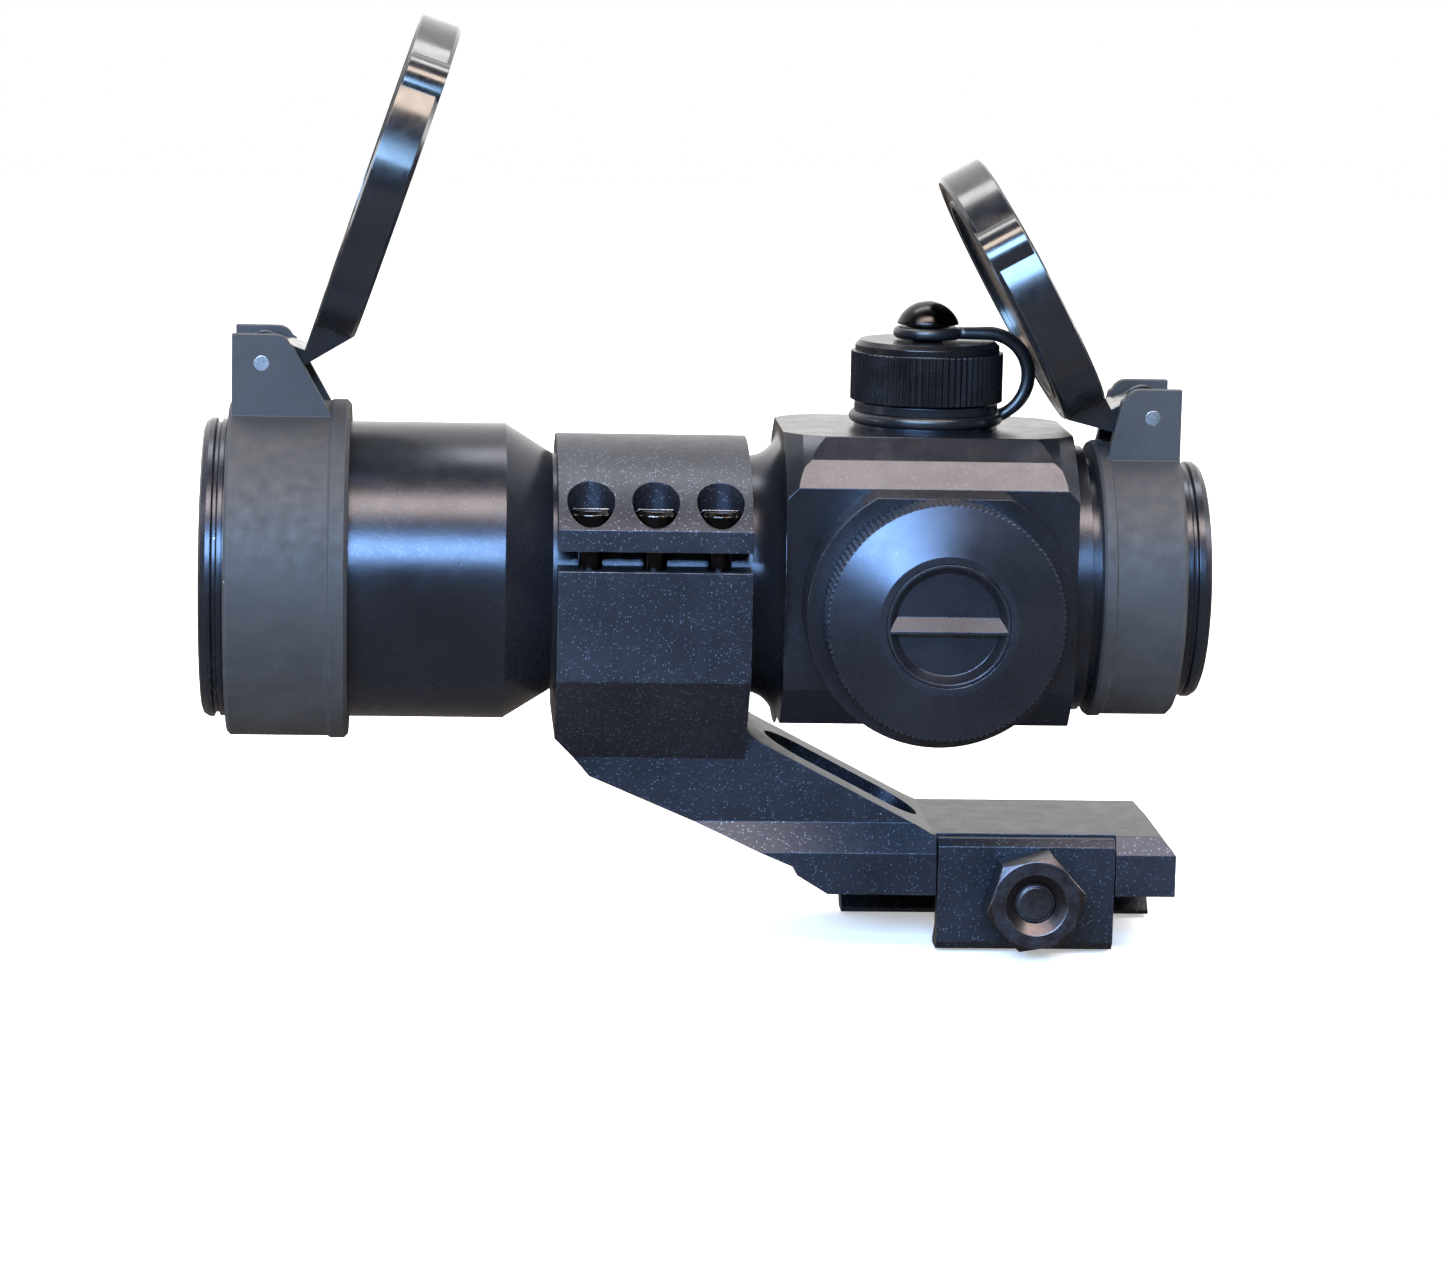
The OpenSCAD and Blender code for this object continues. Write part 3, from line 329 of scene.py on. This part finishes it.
def make_materials():
    black = (0.03, 0.032, 0.04)
    return {
        "housing_anodised": anodised("housing_anodised", black, 0.25, 0.22, 0.008, 0.12),
        "cap_anodised": anodised("cap_anodised", (0.02, 0.02, 0.024), 0.26, 0.2, 0.006, 0.1),
        "knob_anodised": anodised("knob_anodised", (0.034, 0.038, 0.05), 0.28, 0.2, 0.007, 0.1),
        # the mount carries the strongest painted glints
        "mount_anodised": anodised("mount_anodised", (0.03, 0.032, 0.041), 0.38, 0.26, 0.02, 0.75, 0.8),
        "cover_rubbery": moulded("cover_rubbery", (0.017, 0.017, 0.018), 0.62, 0.16, 0.02, 0.08),
        "lid_plastic": moulded("lid_plastic", (0.006, 0.0065, 0.008), 0.2, 0.5, 0.002, 0.02, 0.4),
        "strap_rubber": moulded("strap_rubber", (0.006, 0.0065, 0.008), 0.3, 0.12, 0.005, 0.06, 0.1),
        "seal_rubber": moulded("seal_rubber", (0.008, 0.008, 0.008), 0.6, 0.1, 0.01),
        "black_screw": steel("black_screw", (0.026, 0.025, 0.027), 0.18, 0.4, (3, 3, 1), 0.5, 0.3),
        "dark_steel": steel("dark_steel", (0.085, 0.078, 0.088), 0.34, 0.4, (1, 9, 1), 0.6),
        "pin_steel": steel("pin_steel", (0.34, 0.33, 0.33), 0.36, 0.5, (1, 1, 1), 0.3, 0.7),
        "spring_steel": steel("spring_steel", (0.36, 0.35, 0.36), 0.3, 0.2, (1, 1, 1)),
        "lens_red": glass("lens_red", (0.95, 0.42, 0.4), (1.0, 0.28, 0.24)),
        "lens_clear": glass("lens_clear", (0.78, 0.93, 0.9), (0.55, 0.9, 0.7)),
        "inner_black": anodised("inner_black", (0.02, 0.02, 0.022), 0.6, 0.2, 0.02, 0.3, 0.1),
        "brass": steel("brass", (0.72, 0.52, 0.26), 0.3, 0.25, (1, 1, 10), 0.2),
        "dial_steel": steel("dial_steel", (0.55, 0.54, 0.52), 0.26, 0.25, (3, 3, 3), 0.3),
        "board_green": circuit_board("board_green"),
        "led_red": emitter("led_red"),
        "cell_steel": steel("cell_steel", (0.72, 0.72, 0.73), 0.22, 0.3, (1, 8, 1), 0.2),
    }


def paint_nodes(materials):
    """Each CAD node takes the material of its slot in the record."""
    for subpart in frame["record"]["subparts"]:
        data = nodes[subpart["node"]].data
        data.materials.clear()
        data.materials.append(materials[subpart["material_slot"]])


materials = make_materials()
paint_nodes(materials)


# ---------------------------------------------------------------- mesh helpers

def new_piece(name, bm, slot, body, replaced):
    """A finished mesh piece that stands for a CAD node."""
    mesh = bpy.data.meshes.new(name)
    bmesh.ops.recalc_face_normals(bm, faces=bm.faces)
    bm.to_mesh(mesh)
    bm.free()
    for face in mesh.polygons:
        face.use_smooth = True
    piece = bpy.data.objects.new(name, mesh)
    bpy.context.collection.objects.link(piece)
    mesh.materials.append(materials[slot])
    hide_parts(replaced)
    if body is not None:
        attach(piece, body)
    return piece


def add_sweep(bm, stations, section, closed=False):
    """Sweeps a section, a list of (sideways, outwards), along stations of (centre, sideways, outwards)."""
    rings = []
    for centre, sideways, outwards in stations:
        rings.append([bm.verts.new(centre + sideways * a + outwards * b) for a, b in section])
    join_rings(bm, rings, closed)


def join_rings(bm, rings, closed=False):
    """Skins a row of equal rings of vertices; an open row gets its ends closed."""
    count = len(rings[0])
    pairs = list(zip(rings, rings[1:]))
    if closed:
        pairs.append((rings[-1], rings[0]))
    for first, second in pairs:
        for i in range(count):
            j = (i + 1) % count
            bm.faces.new((first[i], first[j], second[j], second[i]))
    if not closed:
        bm.faces.new(rings[0][::-1])
        bm.faces.new(rings[-1])


def rounded_section(width, thick, corner, steps=5):
    """A rounded rectangle as (across, up) points."""
    points = []
    for k, (sx, sy) in enumerate(((1, 1), (-1, 1), (-1, -1), (1, -1))):
        for i in range(steps + 1):
            angle = math.pi / 2 * (k + i / steps)
            points.append((sx * (width / 2 - corner) + corner * math.cos(angle),
                           sy * (thick / 2 - corner) + corner * math.sin(angle)))
    return points


# ---------------------------------------------------------------- tether straps

STRAP_WIDTH = 3.0 * MM
STRAP_THICK = 1.5 * MM
EYELET_RADIUS = 4.4 * MM
EYELET_HOLE = 2.4 * MM
STRAP_TWIST = math.radians(26)
GROOVE_RING_THICK = 1.5 * MM
GROOVE_RING_INNER = 8.35 * MM
GROOVE_RING_OUTER = 9.75 * MM
EYELET_OVERLAP = 0.6 * MM
RING_OVERLAP = 0.7 * MM
STRAIGHT_STEPS = 6
BEND_STEPS = 28
HOOP_STEPS = 72


def add_band(bm, stations):
    """A strap's free band: narrower and a little twisted between its two ends."""
    rings = []
    for k, (place, sideways, outwards) in enumerate(stations):
        share = k / (len(stations) - 1)
        narrow = 1 - 0.25 * math.sin(math.pi * share)
        twist = STRAP_TWIST * math.sin(math.pi * share ** 1.5)
        across = math.cos(twist) * sideways + math.sin(twist) * outwards
        out = math.cos(twist) * outwards - math.sin(twist) * sideways
        section = rounded_section(STRAP_WIDTH * narrow, STRAP_THICK, 0.48 * STRAP_THICK)
        rings.append([bm.verts.new(place + across * a + out * b) for a, b in section])
    join_rings(bm, rings)


def band_stations(low, high, reach):
    """The free band's route: out from the eyelet, round an arc, and back in to the ring."""
    radius = (high - low) / 2
    centre = Vector((reach - radius, 0, (high + low) / 2))
    across = Vector((0, 1, 0))
    up = Vector((0, 0, 1))
    start = (EYELET_HOLE + EYELET_RADIUS) / 2 + EYELET_OVERLAP
    end = GROOVE_RING_OUTER - RING_OVERLAP
    stations = []
    for i in range(STRAIGHT_STEPS):
        x = start + (centre.x - start) * i / STRAIGHT_STEPS
        stations.append((Vector((x, 0, high)), across, up))
    for i in range(BEND_STEPS + 1):
        a = math.pi / 2 - math.pi * i / BEND_STEPS
        out = Vector((math.cos(a), 0, math.sin(a)))
        place = centre + out * radius
        if place.z < centre.z and place.x < end:
            break
        stations.append((place, across, out))
    return stations


def strap_mesh(low, high, reach):
    """A strap about its turret's axis: a ring in the groove, a band round the outside, an eyelet.

    low is the height of the ring's middle, high that of the eyelet's, reach where the band ends outside.
    """
    bm = bmesh.new()
    turn = [2 * math.pi * i / HOOP_STEPS for i in range(HOOP_STEPS)]
    up = Vector((0, 0, 1))

    def hoop(height, inner, outer, thick):
        middle, width = (inner + outer) / 2, outer - inner
        stations = [(Vector((middle * math.cos(a), middle * math.sin(a), height)),
                     Vector((math.cos(a), math.sin(a), 0)), up) for a in turn]
        add_sweep(bm, stations, rounded_section(width, thick, 0.45 * min(width, thick)), True)

    hoop(low, GROOVE_RING_INNER, GROOVE_RING_OUTER, GROOVE_RING_THICK)
    hoop(high, EYELET_HOLE, EYELET_RADIUS, STRAP_THICK)

    add_band(bm, band_stations(low, high, reach))
    return bm


def make_strap(side, axis, place, turn):
    """side is elevation or windage; turn brings the turret's own +Z onto axis."""
    node = side + "_strap"
    low_corner, high_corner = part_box(node)
    k = 2 if axis.z > 0.5 else 1
    low = low_corner[k] + GROOVE_RING_THICK / 2 - place[k]
    high = high_corner[k] - STRAP_THICK / 2 - place[k]
    reach = high_corner[0] - STRAP_THICK / 2 - place[0]
    bm = strap_mesh(low, high, reach)
    bm.transform(Matrix.Translation(place) @ turn)
    piece = new_piece(side + "_tether", bm, "strap_rubber", None, node)
    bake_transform(piece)


def make_straps():
    low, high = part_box("elevation_turret_base")
    middle_x = (low[0] + high[0]) / 2
    low_w, high_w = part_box("windage_turret_base")
    middle_z = (low_w[2] + high_w[2]) / 2
    make_strap("elevation", Vector((0, 0, 1)), Vector((middle_x, 0, 0)), Matrix.Identity(4))
    sideways = Matrix.Rotation(-math.pi / 2, 4, "X")
    make_strap("windage", Vector((0, 1, 0)), Vector((middle_x, 0, middle_z)), sideways)


make_straps()


# ---------------------------------------------------------------- hinge springs

WIRE = 0.33 * MM
COIL = 2.0 * MM
TURNS = 5
TURN_STEPS = 30
COIL_SPACING = 1.06
WIRE_SIDES = 10


def spring_path(foot):
    """A foot leg straight under the pin, then a helix about the pin along Y."""
    span = TURNS * 2 * WIRE * COIL_SPACING
    points = [Vector((0, -span / 2, -foot)), Vector((0, -span / 2, -(foot + COIL) / 2))]
    for i in range(TURNS * TURN_STEPS + 1):
        a = 2 * math.pi * i / TURN_STEPS
        along = -span / 2 + span * i / (TURNS * TURN_STEPS)
        points.append(Vector((COIL * math.sin(a), along, -COIL * math.cos(a))))
    return points


def make_spring(side):
    low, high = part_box(side + "_hinge_pin")
    pin = Vector(((low[0] + high[0]) / 2, 0, (low[2] + high[2]) / 2))
    foot = pin.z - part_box(side + "_hinge_spring")[0][2]
    path = [pin + p for p in spring_path(foot)]
    bm = bmesh.new()
    turn = [2 * math.pi * i / WIRE_SIDES for i in range(WIRE_SIDES)]
    section = [(WIRE * math.cos(a), WIRE * math.sin(a)) for a in turn]
    stations = []
    side_hint = Vector((0, 1, 0))
    for i, place in enumerate(path):
        along = (path[min(i + 1, len(path) - 1)] - path[max(i - 1, 0)]).normalized()
        outwards = along.cross(side_hint).normalized()
        stations.append((place, outwards.cross(along), outwards))
    add_sweep(bm, stations, section)
    new_piece(side + "_torsion_spring", bm, "spring_steel", "sight", side + "_hinge_spring")


make_spring("front")
make_spring("rear")


# ---------------------------------------------------------------- studio

FLOOR_HALF = 1.5
FLOOR_GAP = 0.5 * MM
FLOOR_GLOW = 0.4
FLOOR_IN_REFLECTIONS = 0.2
FLOOR_REFLECTED_TINT = (1.0, 0.86, 0.76)
AIM_POINT = (-0.04, 0, 0.045)


def make_floor():
    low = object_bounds()[0]
    bm = bmesh.new()
    bmesh.ops.create_grid(bm, x_segments=1, y_segments=1, size=FLOOR_HALF)
    mesh = bpy.data.meshes.new("floor")
    bm.to_mesh(mesh)
    bm.free()
    floor = bpy.data.objects.new("floor", mesh)
    floor.location = (0, 0, low[2] - FLOOR_GAP)
    bpy.context.collection.objects.link(floor)
    g = Graph("floor_paper")
    tone = g.mix(g.noise(900, 2), (0.84, 0.84, 0.84), (0.88, 0.88, 0.88))
    g.finish(tone, 0.9, None, Emission_Color=(1, 1, 1, 1), Emission_Strength=FLOOR_GLOW)
    # only in reflections, the paper is dim and warm, as if it were a small sheet in a dark room
    dim = g.add("ShaderNodeEmission")
    dim.inputs["Color"].default_value = rgba(FLOOR_REFLECTED_TINT)
    dim.inputs["Strength"].default_value = FLOOR_IN_REFLECTIONS
    output = g.tree.nodes["Material Output"]
    choose = g.add("ShaderNodeMixShader")
    g.put(choose.inputs[0], g.add("ShaderNodeLightPath").outputs["Is Glossy Ray"])
    g.put(choose.inputs[1], output.inputs["Surface"].links[0].from_socket)
    g.put(choose.inputs[2], dim.outputs[0])
    g.put(output.inputs["Surface"], choose.outputs[0])
    mesh.materials.append(g.material)


def make_world():
    """White all round to the eye; as light, bright behind the sight and dim on the camera's side."""
    world = bpy.data.worlds.new("studio")
    bpy.context.scene.world = world
    world.use_nodes = True
    tree = world.node_tree
    tree.nodes.clear()
    place = tree.nodes.new("ShaderNodeTexCoord")
    split = tree.nodes.new("ShaderNodeSeparateXYZ")
    tree.links.new(place.outputs["Generated"], split.inputs[0])
    ramp = tree.nodes.new("ShaderNodeMapRange")
    for socket, number in zip(ramp.inputs[1:5], (-0.1, 0.35, 0.02, 1.5)):
        socket.default_value = number
    tree.links.new(split.outputs["Y"], ramp.inputs[0])
    lit = tree.nodes.new("ShaderNodeBackground")
    lit.inputs["Color"].default_value = (1.0, 0.985, 0.965, 1)
    tree.links.new(ramp.outputs[0], lit.inputs["Strength"])
    seen = tree.nodes.new("ShaderNodeBackground")
    seen.inputs["Color"].default_value = (1, 1, 1, 1)
    seen.inputs["Strength"].default_value = 1.0
    path = tree.nodes.new("ShaderNodeLightPath")
    mix = tree.nodes.new("ShaderNodeMixShader")
    tree.links.new(path.outputs["Is Camera Ray"], mix.inputs[0])
    tree.links.new(lit.outputs[0], mix.inputs[1])
    tree.links.new(seen.outputs[0], mix.inputs[2])
    output = tree.nodes.new("ShaderNodeOutputWorld")
    tree.links.new(mix.outputs[0], output.inputs["Surface"])


def softbox(name, azimuth, elevation, distance, size, power, colour):
    """A soft panel aimed at the sight. Azimuth 0 is on the knob's side, 90 towards the eyepiece."""
    middle = Vector(AIM_POINT)
    a, e = math.radians(azimuth), math.radians(elevation)
    out = Vector((math.sin(a) * math.cos(e), -math.cos(a) * math.cos(e), math.sin(e)))
    data = bpy.data.lights.new(name, "AREA")
    data.shape = "RECTANGLE"
    data.size, data.size_y = size
    data.energy = power
    data.color = colour
    lamp = bpy.data.objects.new(name, data)
    lamp.rotation_mode = "QUATERNION"
    lamp.rotation_quaternion = out.to_track_quat("Z", "Y")
    lamp.location = middle + out * distance
    bpy.context.collection.objects.link(lamp)
    lamp.visible_camera = False


make_floor()
make_world()
BLUE = (0.34, 0.6, 1.0)
WARM = (1.0, 0.82, 0.68)
WHITE = (1.0, 0.98, 0.95)
softbox("window_blue", -16, 24, 1.6, (1.15, 0.46), 70, BLUE)
softbox("warm_panel", 5, 59, 1.5, (2.1, 0.42), 44, WARM)
softbox("top_panel", 0, 108, 1.5, (1.6, 0.4), 16, WHITE)
softbox("left_edge", -88, 12, 1.5, (0.35, 1.0), 9, WHITE)
softbox("right_edge", 95, 12, 1.5, (0.35, 1.0), 9, WHITE)

view = bpy.context.scene.view_settings
view.view_transform = "Standard"
view.look = "None"
